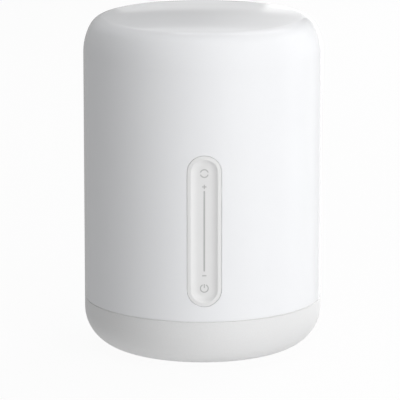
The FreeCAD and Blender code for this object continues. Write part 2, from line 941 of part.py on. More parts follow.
def led_board():
    board = disc(s.led_board_radius, led_board_bottom, led_board_top)
    hole = s.small_shank + s.screw_clearance
    return cut(board, *led_screw_holes(led_board_bottom - s.overrun, led_board_top + s.overrun, hole))


def white_places():
    inner = around(range(0, 360, 60), s.inner_led_circle)
    return inner + around(range(15, 375, 30), s.outer_led_circle)


def colour_places():
    return around(range(0, 360, 60), s.colour_led_circle)


def leds(places):
    top = led_board_top + s.led_height
    return group(*[centred(x, y, s.led_size, s.led_size, (led_board_top, top)) for x, y in places])


def white_leds():
    return leds(white_places())


def colour_leds():
    return leds(colour_places())


def reflector():
    bend, rim = s.reflector_bend_radius, s.reflector_outer_radius
    dish = turned_outline(
        [
            (s.reflector_inner_radius, led_board_top),
            (bend, led_board_top),
            (rim, led_board_top + s.reflector_rise),
            (rim, reflector_top + s.reflector_rise),
            (bend, reflector_top),
            (s.reflector_inner_radius, reflector_top),
        ]
    )
    through = (led_board_top - s.overrun, reflector_top + s.overrun)
    windows = [disc(s.led_window, *through, x, y) for x, y in white_places() + colour_places()]
    holes = led_screw_holes(*through, s.small_shank + s.screw_clearance)
    slot = ribbon_slot(led_board_top - s.overrun, chassis_top + s.overrun)
    return cut(dish, slot, *windows, *holes)


def led_board_screws():
    return screws(
        around(THIRDS, s.led_screw_circle),
        s.small_shank,
        s.small_head,
        reflector_top,
        s.small_head_height,
        deck_top + s.heat_sink_plate / 2,
    )


def led_board_connector():
    length, width = s.connector_half_length, s.connector_half_width
    bottom = led_board_bottom - s.connector_height
    return block((-length, length), (-width, width), (bottom, led_board_bottom))


def led_cable():
    """Wires that rise from the main board and step across to the middle of the lamp."""
    bottom = main_board_top.number + SIZES["connector_height"]
    top = led_board_bottom.number - SIZES["connector_height"]
    step, rise = SIZES["led_cable_offset"], SIZES["wire_rise"]
    route = [(step, bottom), (step, bottom + rise), (0, top - rise), (0, top)]
    wires = []
    for index in range(SIZES["wire_count"]):
        x = (index - (SIZES["wire_count"] - 1) / 2) * SIZES["wire_pitch"]
        points = [FreeCAD.Vector(x, y, z) for y, z in route]
        path = rounded_path(points, SIZES["wire_bend"])
        section = Part.Wire(Part.makeCircle(SIZES["wire_radius"], points[0]))
        wires.append(path.makePipeShell([section], True, False))
    cable = document.addObject("Part::Feature", "LedCable")
    cable.Shape = Part.makeCompound(wires)
    cable.Placement = FreeCAD.Placement()
    return cable


def rounded_path(points, radius):
    """Straight runs between points with a tangent arc of this radius at each turn."""
    edges = []
    start = points[0]
    for before, corner, after in zip(points, points[1:], points[2:]):
        inward = (before - corner).normalize()
        outward = (after - corner).normalize()
        turn = math.pi - inward.getAngle(outward)
        reach = radius * math.tan(turn / 2)
        arc_start = corner + inward * reach
        arc_end = corner + outward * reach
        centre = corner + (inward + outward).normalize() * (radius / math.cos(turn / 2))
        middle = centre + (corner - centre).normalize() * radius
        edges.append(Part.LineSegment(start, arc_start).toShape())
        edges.append(Part.Arc(arc_start, middle, arc_end).toShape())
        start = arc_end
    edges.append(Part.LineSegment(start, points[-1]).toShape())
    return Part.Wire(edges)


# ---------------------------------------------------------------- electronics


def on_main_board(x, y, height, width, length):
    """A part that stands on the main board, centred at x, y."""
    return centred(x, y, width, length, (main_board_top, main_board_top + height))


def main_board():
    board = disc(s.main_board_radius, s.main_board_bottom, main_board_top)
    through = (s.main_board_bottom - s.overrun, main_board_top + s.overrun)
    posts = [
        disc(s.cover_boss_radius, *through, x, y) for x, y in around(DIAGONALS, s.post_circle)
    ]
    hole = s.small_shank + s.screw_clearance
    holes = [disc(hole, *through, x, y) for x, y in around(QUARTERS, s.standoff_circle)]
    return cut(board, *posts, *holes)


def main_board_screws():
    return screws(
        around(QUARTERS, s.standoff_circle),
        s.small_shank,
        s.small_head,
        main_board_top,
        s.small_head_height,
        cover_top + s.standoff_radius / 2,
    )


def wifi_module_board():
    thickness = s.module_board_thickness
    return on_main_board(s.module_x, 0, thickness, s.module_width, s.module_length)


def wifi_module_shield():
    bottom = main_board_top + s.module_board_thickness
    ends = (bottom, bottom + s.module_shield_height)
    return centred(s.shield_x, 0, s.shield_width, s.shield_length, ends)


def power_inductor():
    side = s.inductor_size
    return on_main_board(s.inductor_x, s.inductor_y, s.inductor_height, side, side)


def capacitors():
    ends = (main_board_top, main_board_top + s.capacitor_height)
    rows = (s.capacitor_y, s.capacitor_y + s.capacitor_pitch)
    return group(*[disc(s.capacitor_radius, *ends, s.capacitor_x, y) for y in rows])


def led_driver_transistors():
    """One for each colour and each white, in a row across the board."""
    side, height = s.transistor_size, s.transistor_height
    columns = [s.transistor_pitch * step for step in (-2, -1, 0, 1, 2)]
    return group(*[on_main_board(x, s.transistor_y, height, side, side) for x in columns])


def main_board_chips():
    chips = (
        (s.driver_chip_x, s.driver_chip_y, s.driver_chip_size),
        (s.memory_chip_x, s.memory_chip_y, s.memory_chip_size),
        (s.power_chip_x, Size(0), s.power_chip_size),
    )
    return group(*[on_main_board(x, y, s.chip_height, side, side) for x, y, side in chips])


def main_board_ffc_connector():
    width, length = s.ribbon_slot_half_width * 2, s.ribbon_connector_length
    y = length / 2 - s.ribbon_connector_front
    return on_main_board(0, y, s.connector_height, width, length)


def main_board_led_connector():
    width, length = s.connector_half_length * 2, s.connector_half_width * 2
    return on_main_board(0, s.led_cable_offset, s.connector_height, width, length)


def panel_flex_cable():
    """A flat ribbon from the touch board, down behind the panel, to the main board."""
    start, drop = -SIZES["ribbon_start"], -SIZES["ribbon_drop"]
    route = [
        (start, SIZES["touch_connector_bottom"]),
        (start, SIZES["ribbon_exit_height"]),
        (drop, SIZES["ribbon_exit_height"]),
        (drop, SIZES["ribbon_end_height"]),
        (-SIZES["ribbon_connector_front"], SIZES["ribbon_end_height"]),
    ]
    half, thin = SIZES["ribbon_half_width"], SIZES["ribbon_thickness"] / 2
    path = rounded_path([FreeCAD.Vector(0, y, z) for y, z in route], SIZES["ribbon_bend"])
    corners = [(-half, -thin), (half, -thin), (half, thin), (-half, thin), (-half, -thin)]
    first = route[0]
    section = Part.makePolygon([FreeCAD.Vector(x, first[0] + y, first[1]) for x, y in corners])
    cable = document.addObject("Part::Feature", "FlexCable")
    cable.Shape = path.makePipeShell([section], True, False)
    cable.Placement = FreeCAD.Placement()
    return cable


def dc_jack_housing():
    back = s.jack_front + s.jack_length
    middle = s.jack_front + s.jack_length / 2
    case = on_main_board(0, middle, s.jack_height, s.jack_half_width * 2, s.jack_length)
    bore_ends = (back - s.jack_bore_depth, back + s.overrun)
    return cut(case, rod(s.jack_bore, *bore_ends, s.inlet_height))


def dc_jack_pin():
    start = s.jack_front + s.jack_length - s.jack_bore_depth
    return rod(s.jack_pin_radius, start, start + s.jack_pin_length, s.inlet_height)


def dc_jack_contact():
    start = s.jack_front + s.jack_length - s.jack_bore_depth
    low = s.inlet_height - s.jack_bore + s.contact_thickness
    half = s.jack_pin_radius
    return block((-half, half), (start, start + s.jack_pin_length), (low, low + s.contact_thickness))


# ---------------------------------------------------------------- build

SUBPARTS = (
    diffuser_shell,
    seam_gasket,
    base_shell,
    bottom_cover,
    foot_ring,
    base_screws,
    chassis,
    control_panel,
    panel_adhesive_seal,
    mode_icon,
    plus_mark,
    slider_line,
    minus_mark,
    power_icon,
    touch_film,
    touch_board,
    indicator_leds,
    touch_controller,
    touch_board_connector,
    panel_rear_cover,
    panel_screws,
    panel_flex_cable,
    heat_sink,
    heat_sink_screws,
    thermal_pad,
    led_board,
    white_leds,
    colour_leds,
    reflector,
    led_board_screws,
    led_board_connector,
    led_cable,
    main_board,
    main_board_screws,
    wifi_module_board,
    wifi_module_shield,
    power_inductor,
    capacitors,
    led_driver_transistors,
    main_board_chips,
    main_board_ffc_connector,
    main_board_led_connector,
    dc_jack_housing,
    dc_jack_pin,
    dc_jack_contact,
)

pieces = []
for make in SUBPARTS:
    piece = make()
    piece.Label = make.__name__
    pieces.append(piece)
document.recompute()

for thing in document.Objects:
    if {"Invalid", "Error"} & set(thing.State):
        raise RuntimeError(f"{thing.Label} did not recompute: {thing.State}")
for piece in pieces:
    if piece.Shape.isNull() or not piece.Shape.isValid() or not piece.Shape.Solids:
        raise RuntimeError(f"{piece.Label} is not a valid solid")

os.makedirs("parts", exist_ok=True)
for piece in pieces:
    piece.Shape.exportStep(f"parts/{piece.Label}.step")
    print(f"{piece.Label}: {len(piece.Shape.Solids)} solids, {piece.Shape.Volume / 1000:.2f} cm3")
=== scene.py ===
import json
import math

import bmesh
import bpy
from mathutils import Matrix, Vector


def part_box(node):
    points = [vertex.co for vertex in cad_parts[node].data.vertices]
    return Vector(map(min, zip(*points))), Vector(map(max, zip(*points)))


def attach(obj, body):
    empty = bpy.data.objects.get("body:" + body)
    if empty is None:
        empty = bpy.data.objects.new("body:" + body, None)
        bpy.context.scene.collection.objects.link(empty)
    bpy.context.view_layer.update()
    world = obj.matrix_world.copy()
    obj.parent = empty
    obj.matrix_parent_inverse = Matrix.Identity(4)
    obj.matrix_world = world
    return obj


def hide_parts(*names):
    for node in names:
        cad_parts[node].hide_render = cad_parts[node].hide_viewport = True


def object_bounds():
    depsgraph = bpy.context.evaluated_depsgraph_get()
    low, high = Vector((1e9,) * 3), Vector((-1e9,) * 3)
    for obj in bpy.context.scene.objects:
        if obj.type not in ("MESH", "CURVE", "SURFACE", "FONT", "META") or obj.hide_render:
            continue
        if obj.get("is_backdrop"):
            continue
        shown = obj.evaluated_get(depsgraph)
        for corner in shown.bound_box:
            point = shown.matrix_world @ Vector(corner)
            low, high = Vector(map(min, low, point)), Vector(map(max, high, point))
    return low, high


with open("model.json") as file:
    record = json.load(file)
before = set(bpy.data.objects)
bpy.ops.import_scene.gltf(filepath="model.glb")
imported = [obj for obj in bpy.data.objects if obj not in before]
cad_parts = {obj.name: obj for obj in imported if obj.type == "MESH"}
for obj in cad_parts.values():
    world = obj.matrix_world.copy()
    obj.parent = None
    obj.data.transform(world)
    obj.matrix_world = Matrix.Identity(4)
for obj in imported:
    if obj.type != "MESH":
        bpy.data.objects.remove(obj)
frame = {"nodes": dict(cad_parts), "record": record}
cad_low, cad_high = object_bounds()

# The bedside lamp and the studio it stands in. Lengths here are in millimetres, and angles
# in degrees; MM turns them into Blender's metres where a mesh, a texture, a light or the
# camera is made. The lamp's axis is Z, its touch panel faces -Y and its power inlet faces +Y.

MM = 0.001


# ---------------------------------------------------------------- sizes


def corners(node):
    """The lowest and highest corners of a CAD node, in millimetres."""
    low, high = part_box(node)
    return low / MM, high / MM


shell_low, shell_high = corners("diffuser_shell")
base_low, base_high = corners("base_shell")
cover_low, cover_high = corners("bottom_cover")
foot_low, foot_high = corners("foot_ring")
gasket_low, gasket_high = corners("seam_gasket")
panel_low, panel_high = corners("control_panel")
jack_low, jack_high = corners("dc_jack_housing")

BODY_RADIUS = shell_high.x
BODY_TOP = shell_high.z
SHELL_BOTTOM = shell_low.z

# The shell's outline: an almost flat crown, a tight corner and a wide shoulder, then the
# straight side down to a small rounded lip.
CROWN_RADIUS = 600.0
CROWN_ANGLE = 5.5
CORNER_RADIUS = 11.0
SHOULDER_RADIUS = 32.0
SHELL_WALL = 2.2
SHELL_LIP = 0.3

# The base's outline: a straight side, a large rounded corner, a recess for the closing plate
# and, inside, a tongue that reaches up behind the seam.
BASE_TOP = gasket_low.z
BASE_BOTTOM = base_low.z
BASE_CORNER = 22.5
BASE_MIDDLE = BASE_BOTTOM + BASE_CORNER
BASE_FLAT = BODY_RADIUS - BASE_CORNER
BASE_WALL = 2.4
BASE_LIP = 0.3
COVER_CLEARANCE = 0.2
BASE_RECESS = cover_high.x + COVER_CLEARANCE
FLANGE_WIDTH = 2.7
FLANGE_TOP = 5.0
TONGUE_TOP = base_high.z
TONGUE_OUTER = 67.4
TONGUE_INNER = 65.6
TONGUE_ROOT = 27.7
TONGUE_SLOPE = 2.0
GASKET_CLEARANCE = 0.1

# The closing plate, its foot groove and the foot.
COVER_TOP = 3.0
COVER_EDGE = 0.3
GROOVE_GAP = 0.1
FOOT_EDGE = 0.5
FOOT_BEAD = 0.45
FOOT_INNER = 36.0

# The touch panel and its window. The panel is a slot: its ends are half circles round the
# heights PANEL_LOW and PANEL_HIGH. A flange behind the shell holds it.
PANEL_HALF_WIDTH = 9.86
PANEL_STRAIGHT = 68.75
PANEL_DROP = 0.12
PANEL_CENTRE = (panel_low.z + panel_high.z) / 2 - PANEL_DROP
PANEL_LOW = PANEL_CENTRE - PANEL_STRAIGHT / 2
PANEL_HIGH = PANEL_CENTRE + PANEL_STRAIGHT / 2
PANEL_EDGE = 0.15
PANEL_BACK = -corners("touch_film")[0].y
WINDOW_GAP = 0.14
WINDOW_EDGE = 0.15
FLANGE_HALF_WIDTH = panel_high.x
SEAL_THICKNESS = 0.4
FLANGE_DEPTH = SHELL_WALL + SEAL_THICKNESS

# The dish in the panel. Its wall is an arc of radius DISH_ARC, stretched to the dish's depth,
# that meets the flat floor without a crease. The wall stops DISH_CREST short of the dish's
# edge, and a small bevel leads on to the rim. RIM_RINGS are how far outside that edge the
# rim's rings lie. The marks stand MARK_RISE proud of the floor.
DISH_HALF_WIDTH = 7.7
DISH_WALL = 4.2
DISH_ARC = 8.4
DISH_CREST = 0.1
MARK_RISE = 0.05
DISH_FLOOR = -corners("slider_line")[0].y - MARK_RISE
RIM_RINGS = (DISH_CREST / 2, 0.4, 0.8, 1.4)

# The power inlet: a round hole in the base's back, with a sleeve that runs in to the jack.
INLET_RISE = 1.0
INLET_HEIGHT = (jack_low.z + jack_high.z) / 2 + INLET_RISE
INLET_RADIUS = 6.0
INLET_EDGE = 0.6
SLEEVE_RADIUS = 8.0
SLEEVE_GAP = 0.5
SLEEVE_FRONT = jack_high.y + SLEEVE_GAP

# How finely turned pieces are divided, and how far the cells that an opening leaves out
# reach past it: above and below the window, and above and below the inlet's middle.
COLUMNS = 192
SIDE_ROWS = 10
WINDOW_COLUMNS = 6
WINDOW_ROWS = 45
WINDOW_MARGIN = 3.0
INLET_COLUMNS = 5
INLET_ROWS = 16
INLET_REACH_OUTSIDE = 10.0
INLET_REACH_INSIDE = 9.1

# Points closer than this become one.
WELD = 0.001


# ---------------------------------------------------------------- mesh building


class Skin:
    """Collects the points, in millimetres, and the faces of one mesh."""

    def __init__(self):
        self.points = []
        self.faces = []

    def loop(self, points):
        """Add points and return their numbers."""
        start = len(self.points)
        self.points.extend(points)
        return list(range(start, len(self.points)))

    def bridge(self, first, second):
        """Join two closed loops of the same length with quads."""
        for here in range(len(first)):
            there = (here + 1) % len(first)
            self.faces.append((first[here], first[there], second[there], second[here]))

    def chain(self, loops):
        """Join each loop to the next."""
        for first, second in zip(loops, loops[1:]):
            self.bridge(first, second)

    def build(self, name, slot, *nodes):
        """Make the mesh. With a slot, it is a piece that stands for the CAD nodes and rides on
        the body; without one, it is part of the studio."""
        shape = bmesh.new()
        vertices = [shape.verts.new(Vector(point) * MM) for point in self.points]
        for face in self.faces:
            shape.faces.new([vertices[number] for number in face])
        bmesh.ops.remove_doubles(shape, verts=shape.verts, dist=WELD * MM)
        bmesh.ops.recalc_face_normals(shape, faces=shape.faces)
        mesh = bpy.data.meshes.new(name)
        shape.to_mesh(mesh)
        shape.free()
        mesh.polygons.foreach_set("use_smooth", [True] * len(mesh.polygons))
        piece = bpy.data.objects.new(name, mesh)
        bpy.context.scene.collection.objects.link(piece)
        even = piece.modifiers.new("even_shading", "WEIGHTED_NORMAL")
        even.mode = "FACE_AREA"
        if slot:
            mesh.materials.append(finishes[slot])
            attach(piece, "root")
            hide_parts(*nodes)
        return piece


def arc(centre, radius, start, end, steps):
    """Points (r, z) on an arc; angles run from straight up towards the outside."""
    points = []
    for step in range(steps + 1):
        angle = math.radians(start + (end - start) * step / steps)
        points.append((centre[0] + radius * math.sin(angle), centre[1] + radius * math.cos(angle)))
    return points


def turn(skin, outline, openings=(), middle=0, half=0, closed=False):
    """Turn an outline of (r, z) points about the axis. An opening is a pair of the outline's
    points; the cells between them, half columns each side of the middle one, are left out."""
    rings = []
    for radius, height in outline:
        ring = []
        for column in range(COLUMNS):
            angle = math.tau * column / COLUMNS
            ring.append((radius * math.sin(angle), -radius * math.cos(angle), height))
        rings.append(skin.loop(ring))
    rows = [tuple(sorted(outline.index(point) for point in opening)) for opening in openings]
    pairs = list(zip(rings, rings[1:]))
    if closed:
        pairs.append((rings[-1], rings[0]))
    for row, (upper, lower) in enumerate(pairs):
        cut = any(first <= row < last for first, last in rows)
        for column in range(COLUMNS):
            after = (column + 1) % COLUMNS
            away = (column - middle + COLUMNS // 2) % COLUMNS - COLUMNS // 2
            if not (cut and -half <= away < half):
                skin.faces.append((upper[column], upper[after], lower[after], lower[column]))
    return [opening_edge(rings, first, last, middle, half) for first, last in rows]


def opening_edge(rings, first, last, middle, half):
    """The closed loop of points round the cells that an opening leaves out."""
    left, right = middle - half, middle + half
    edge = [rings[first][column % COLUMNS] for column in range(left, right)]
    edge += [rings[row][right % COLUMNS] for row in range(first, last)]
    edge += [rings[last][column % COLUMNS] for column in range(right, left, -1)]
    edge += [rings[row][left % COLUMNS] for row in range(last, first, -1)]
    return edge


def on_slot(x, z, low, high, half_width):
    """The point of a slot's outline that faces (x, z). The slot's ends are round, centred at
    heights low and high; where they are the same, the slot is a round hole."""
    pivot = min(max(z, low), high)
    reach = math.hypot(x, z - pivot)
    return half_width * x / reach, pivot + half_width * (z - pivot) / reach


def slot_loop(skin, guides, low, high, half_width, depth_at):
    """Add the loop of a slot that faces the guide points; depth_at gives y from x and z."""
    spots = [on_slot(x, z, low, high, half_width) for x, z in guides]
    return skin.loop([(x, depth_at(x, z), z) for x, z in spots])


def halfway_loop(skin, guides, loop, depth_at):
    """Add a loop halfway between the guide points and a loop."""
    points = []
    for (x, z), number in zip(guides, loop):
        middle_x = (x + skin.points[number][0]) / 2
        middle_z = (z + skin.points[number][2]) / 2
        points.append((middle_x, depth_at(middle_x, middle_z), middle_z))
    return skin.loop(points)


def guides_of(skin, edge):
    """The x and z of each point of an opening's edge."""
    return [(skin.points[number][0], skin.points[number][2]) for number in edge]


def rounding(edge, steps=4):
    """How far out and how deep each step of a rounded edge is."""
    angles = [math.pi / 2 * step / steps for step in range(steps + 1)]
    return [(edge * (1 - math.sin(angle)), edge * (1 - math.cos(angle))) for angle in angles]


# ---------------------------------------------------------------- casing


def dome(inset):
    """The shell's outline from its axis to the top of its side, moved in by inset."""
    crown_z = BODY_TOP - CROWN_RADIUS
    lean = math.radians(CROWN_ANGLE)
    corner = (
        (CROWN_RADIUS - CORNER_RADIUS) * math.sin(lean),
        crown_z + (CROWN_RADIUS - CORNER_RADIUS) * math.cos(lean),
    )
    shoulder_r = BODY_RADIUS - SHOULDER_RADIUS
    blend = math.asin((corner[0] - shoulder_r) / (SHOULDER_RADIUS - CORNER_RADIUS))
    shoulder_z = corner[1] - (SHOULDER_RADIUS - CORNER_RADIUS) * math.cos(blend)
    blend = math.degrees(blend)
    points = arc((0, crown_z), CROWN_RADIUS - inset, 0, CROWN_ANGLE, 12)
    points += arc(corner, CORNER_RADIUS - inset, CROWN_ANGLE, blend, 14)[1:]
    points += arc((shoulder_r, shoulder_z), SHOULDER_RADIUS - inset, blend, 90, 14)[1:]
    return points


def rows_between(radius, top, bottom, count):
    """Points (r, z) down a straight side."""
    return [(radius, top + (bottom - top) * row / count) for row in range(count + 1)]


def front_at(depth):
    """The y of the shell's front, at a depth below its surface, for x and z."""
    return lambda x, z: -math.sqrt((BODY_RADIUS - depth) ** 2 - x * x)


def diffuser_shell():
    """The opal shell, with a slot-shaped window in its front for the touch panel."""
    half_width = PANEL_HALF_WIDTH + WINDOW_GAP
    top = PANEL_HIGH + half_width + WINDOW_MARGIN
    bottom = PANEL_LOW - half_width - WINDOW_MARGIN
    inner_radius = BODY_RADIUS - SHELL_WALL
    outer_rows = rows_between(BODY_RADIUS, top, bottom, WINDOW_ROWS)
    inner_rows = rows_between(inner_radius, top, bottom, WINDOW_ROWS)
    shoulder = dome(0)[-1][1]
    lip = arc((BODY_RADIUS - SHELL_LIP, SHELL_BOTTOM + SHELL_LIP), SHELL_LIP, 90, 180, 4)
    outer = dome(0) + rows_between(BODY_RADIUS, shoulder, top, SIDE_ROWS)[1:-1] + outer_rows + lip
    inner = dome(SHELL_WALL) + rows_between(inner_radius, shoulder, top, SIDE_ROWS)[1:-1]
    inner += [*inner_rows, (inner_radius, SHELL_BOTTOM)]
    skin = Skin()
    openings = [(outer_rows[0], outer_rows[-1]), (inner_rows[0], inner_rows[-1])]
    outside, inside = turn(skin, outer + inner[::-1], openings, 0, WINDOW_COLUMNS)
    inside = match(skin, outside, inside)
    guides = guides_of(skin, outside)
    loops = [
        slot_loop(skin, guides, PANEL_LOW, PANEL_HIGH, half_width + out, front_at(depth))
        for out, depth in rounding(WINDOW_EDGE)
    ]
    between = halfway_loop(skin, guides, loops[0], front_at(0))
    back = slot_loop(skin, guides, PANEL_LOW, PANEL_HIGH, half_width, front_at(SHELL_WALL))
    skin.chain([outside, between, *loops, back, inside])
    return skin.build("shell", "opal_shell", "diffuser_shell")


def match(skin, edge, other):
    """Turn another opening's loop round until its points face those of the edge."""
    def place(number):
        return skin.points[number][0], skin.points[number][2]

    start = min(range(len(other)), key=lambda index: math.dist(place(other[index]), place(edge[0])))
    forward = other[start:] + other[:start]
    backward = [forward[0], *forward[:0:-1]]
    ends = [math.dist(place(loop[1]), place(edge[1])) for loop in (forward, backward)]
    return forward if ends[0] <= ends[1] else backward


def base_radius(z, wall):
    """The base's radius at a height: its outside with a wall of 0, or its inside."""
    if z >= BASE_MIDDLE:
        return BODY_RADIUS - wall
    return BASE_FLAT + math.sqrt((BASE_CORNER - wall) ** 2 - (BASE_MIDDLE - z) ** 2)


def back_at(wall, depth=0.0):
    """The y of the base's back, outside or inside, at a depth below it, for x and z."""
    return lambda x, z: math.sqrt(base_radius(z, wall) ** 2 - x * x) - depth


def base_rows(wall, reach):
    """Points (r, z) down the base's side, as far above the inlet's middle as below it."""
    top, bottom = INLET_HEIGHT + reach, INLET_HEIGHT - reach
    heights = [top + (bottom - top) * row / INLET_ROWS for row in range(INLET_ROWS + 1)]
    return [(base_radius(height, wall), height) for height in heights]


def corner_angle(z, radius):
    """Where a height lies on the base's corner, in degrees from straight up."""
    return math.degrees(math.acos((z - BASE_MIDDLE) / radius))


def base_shell():
    """The base, open below for the closing plate, with the power inlet in its back."""
    centre = (BASE_FLAT, BASE_MIDDLE)
    inner_corner = BASE_CORNER - BASE_WALL
    outer_rows = base_rows(0.0, INLET_REACH_OUTSIDE)
    inner_rows = base_rows(BASE_WALL, INLET_REACH_INSIDE)
    outer_turn = corner_angle(outer_rows[-1][1], BASE_CORNER)
    inner_turn = corner_angle(inner_rows[-1][1], inner_corner)
    inner_end = corner_angle(FLANGE_TOP, inner_corner)
    lip = arc((BODY_RADIUS - BASE_LIP, BASE_TOP - BASE_LIP), BASE_LIP, 0, 90, 4)
    outer = [(TONGUE_OUTER, BASE_TOP), *lip, *outer_rows]
    outer += arc(centre, BASE_CORNER, outer_turn, 180, 12)[1:]
    outer.append((BASE_RECESS, BASE_BOTTOM))
    under = [
        (BASE_RECESS, COVER_TOP),
        (BASE_RECESS - FLANGE_WIDTH, COVER_TOP),
        (BASE_RECESS - FLANGE_WIDTH, FLANGE_TOP),
    ]
    inner = arc(centre, inner_corner, inner_end, inner_turn, 6)[:-1] + inner_rows[::-1]
    inner += [
        (BODY_RADIUS - BASE_WALL, TONGUE_ROOT - TONGUE_SLOPE),
        (TONGUE_INNER, TONGUE_ROOT),
        (TONGUE_INNER, TONGUE_TOP),
        (TONGUE_OUTER, TONGUE_TOP),
    ]
    skin = Skin()
    openings = [(outer_rows[0], outer_rows[-1]), (inner_rows[0], inner_rows[-1])]
    outside, inside = turn(
        skin, outer + under + inner, openings, COLUMNS // 2, INLET_COLUMNS, closed=True
    )
    inside = match(skin, outside, inside)
    guides = guides_of(skin, outside)
    spot = (INLET_HEIGHT, INLET_HEIGHT)
    loops = [
        slot_loop(skin, guides, *spot, INLET_RADIUS + out, back_at(0.0, depth))
        for out, depth in rounding(INLET_EDGE)
    ]
    between = halfway_loop(skin, guides, loops[0], back_at(0.0))
    sleeve_end = [
        slot_loop(skin, guides, *spot, radius, lambda x, z: SLEEVE_FRONT)
        for radius in (INLET_RADIUS, SLEEVE_RADIUS)
    ]
    root = slot_loop(skin, guides, *spot, SLEEVE_RADIUS, back_at(BASE_WALL))
    skin.chain([outside, between, *loops, *sleeve_end, root, inside])
    return skin.build("base", "base_shell", "base_shell")


def seam_gasket():
    """A thin ring whose round outer edge lies a little below the surface."""
    half = (gasket_high.z - gasket_low.z) / 2
    bead = arc((gasket_high.x - half, gasket_low.z + half), half, 0, 180, 8)
    inner = TONGUE_OUTER + GASKET_CLEARANCE
    skin = Skin()
    turn(skin, [(inner, gasket_high.z), *bead, (inner, gasket_low.z)], closed=True)
    return skin.build("seam_seal", "seam_seal", "seam_gasket")


def bottom_cover():
    """The closing plate, with the groove that holds the foot."""
    edge = COVER_EDGE
    inner, outer = FOOT_INNER - GROOVE_GAP, foot_high.x + GROOVE_GAP
    rim = cover_high.x
    bottom = cover_low.z
    outline = [(0.0, bottom), *rows_across(0.0, inner - edge, bottom, 8)]
    outline += arc((inner - edge, bottom + edge), edge, 180, 90, 4)
    outline += [(inner, foot_high.z), (outer, foot_high.z)]
    outline += arc((outer + edge, bottom + edge), edge, -90, -180, 4)
    outline += arc((rim - edge, bottom + edge), edge, 180, 90, 4)
    outline += [(rim, COVER_TOP), (0.0, COVER_TOP)]
    skin = Skin()
    turn(skin, outline)
    return skin.build("cover", "base_shell", "bottom_cover")


def rows_across(start, end, height, count):
    """Points (r, z) between two radii on a level, without the ends."""
    return [(start + (end - start) * step / count, height) for step in range(1, count)]


def foot_ring():
    """A rubber ring with two rounded treads."""
    middle = (FOOT_INNER + foot_high.x) / 2
    bottom, top = foot_low.z, foot_high.z
    edge = FOOT_EDGE
    outline = [(FOOT_INNER, top)]
    for inner, outer in ((FOOT_INNER, middle - FOOT_BEAD), (middle + FOOT_BEAD, foot_high.x)):
        outline += arc((inner + edge, bottom + edge), edge, -90, -180, 4)
        outline += arc((outer - edge, bottom + edge), edge, 180, 90, 4)
    outline.append((foot_high.x, top))
    skin = Skin()
    turn(skin, outline, closed=True)
    return skin.build("foot", "foot_rubber", "foot_ring")


# ---------------------------------------------------------------- touch panel


def control_panel():
    """A slot-shaped plate whose front follows the shell, with a shallow dish let into it."""
    guides = slot_guides(PANEL_LOW, PANEL_HIGH, straight_steps=30, round_steps=28)
    skin = Skin()

    def loop(half_width, depth_at):
        return slot_loop(skin, guides, PANEL_LOW, PANEL_HIGH, half_width, depth_at)

    loops = [loop(0.0, flat(DISH_FLOOR)), loop(DISH_HALF_WIDTH - DISH_WALL, flat(DISH_FLOOR))]
    loops += dish_wall(skin, guides)
    loops += [loop(DISH_HALF_WIDTH + ring, front_at(0)) for ring in RIM_RINGS]
    loops += [loop(PANEL_HALF_WIDTH - out, front_at(depth)) for out, depth in rounding(PANEL_EDGE)]
    loops.append(loop(PANEL_HALF_WIDTH, front_at(FLANGE_DEPTH)))
    loops.append(loop(FLANGE_HALF_WIDTH, front_at(FLANGE_DEPTH)))
    loops.append(loop(FLANGE_HALF_WIDTH, flat(PANEL_BACK)))
    loops.append(loop(0.0, flat(PANEL_BACK)))
    skin.chain(loops)
    return skin.build("touch_panel", "touch_panel", "control_panel")


def dish_wall(skin, guides, steps=12):
    """Add the loops of the dish's wall, which climbs from the flat floor to the front."""
    loops = []
    for step in range(1, steps + 1):
        out = DISH_WALL * step / steps * (1 - DISH_CREST / DISH_WALL)
        climb = arc_rise(out) / arc_rise(DISH_WALL)
        points = []
        for x, z in guides:
            brink_x = on_slot(x, z, PANEL_LOW, PANEL_HIGH, DISH_HALF_WIDTH)[0]
            half_width = DISH_HALF_WIDTH - DISH_WALL + out
            spot_x, spot_z = on_slot(x, z, PANEL_LOW, PANEL_HIGH, half_width)
            front = -front_at(0)(brink_x, z)
            points.append((spot_x, -(DISH_FLOOR + (front - DISH_FLOOR) * climb), spot_z))
        loops.append(skin.loop(points))
    return loops


def arc_rise(out):
    """How far the arc of the dish's wall has risen, at a distance out from the floor's edge."""
    return DISH_ARC - math.sqrt(DISH_ARC**2 - out**2)


def flat(front):
    """The y of a flat face that far in front of the axis, whatever x and z."""
    return lambda x, z: -front


def slot_guides(low, high, straight_steps, round_steps):
    """Guide points, evenly spread round a slot of half width one."""
    guides = []
    for start, side, pivot, end in ((0, -1.0, high, low), (180, 1.0, low, high)):
        for step in range(round_steps):
            angle = math.radians(start + 180 * step / round_steps)
            guides.append((math.cos(angle), pivot + math.sin(angle)))
        for step in range(straight_steps):
            guides.append((side, pivot + (end - pivot) * step / straight_steps))
    return guides


# ---------------------------------------------------------------- finishes

# The numbers of a mix node's colour sockets: two inputs and the output.
MIX_FIRST = 6
MIX_SECOND = 7
MIX_RESULT = 2

# Noise hardly ever leaves this range.
NOISE_LOW = 0.3
NOISE_HIGH = 0.7

# A wave texture's bands repeat every WAVE_PERIOD / scale.
WAVE_PERIOD = 0.314

# Copper tracks on the boards, and conductors in the ribbon cable.
TRACK_PITCH = 4.0
TRACK_SHARE = 0.03
CONDUCTOR_PITCH = 1.0


